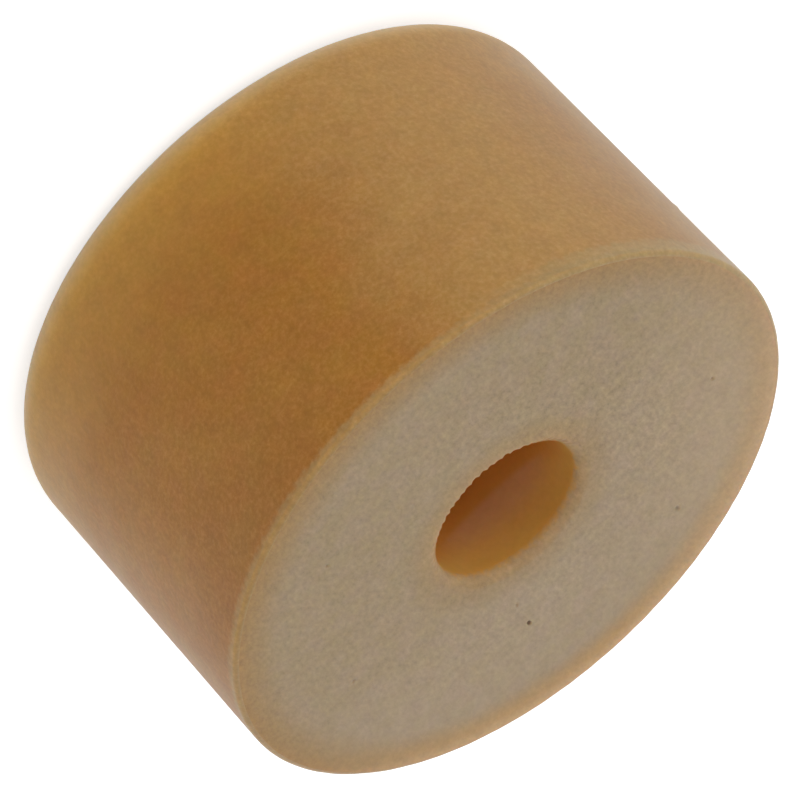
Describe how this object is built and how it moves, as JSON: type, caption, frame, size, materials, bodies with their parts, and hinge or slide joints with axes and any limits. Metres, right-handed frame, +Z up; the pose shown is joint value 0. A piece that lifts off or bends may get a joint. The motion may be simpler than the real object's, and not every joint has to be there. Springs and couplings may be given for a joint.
{
  "type": "rope buffer",
  "caption": "Thick ring of cast polyurethane with a through bore for a rope-end rod, a slight draft and one rounded edge.",
  "frame": {"origin": "middle of the lower face, on the bore axis", "axes": "+Z up along the bore, towards the trimmed upper face; X and Y across"},
  "size_m": [0.05, 0.05, 0.03],
  "materials": {
    "cast_polyurethane": "satin"
  },
  "bodies": {
    "root": {"buffer_body": "cast_polyurethane"}
  },
  "joints": []
}
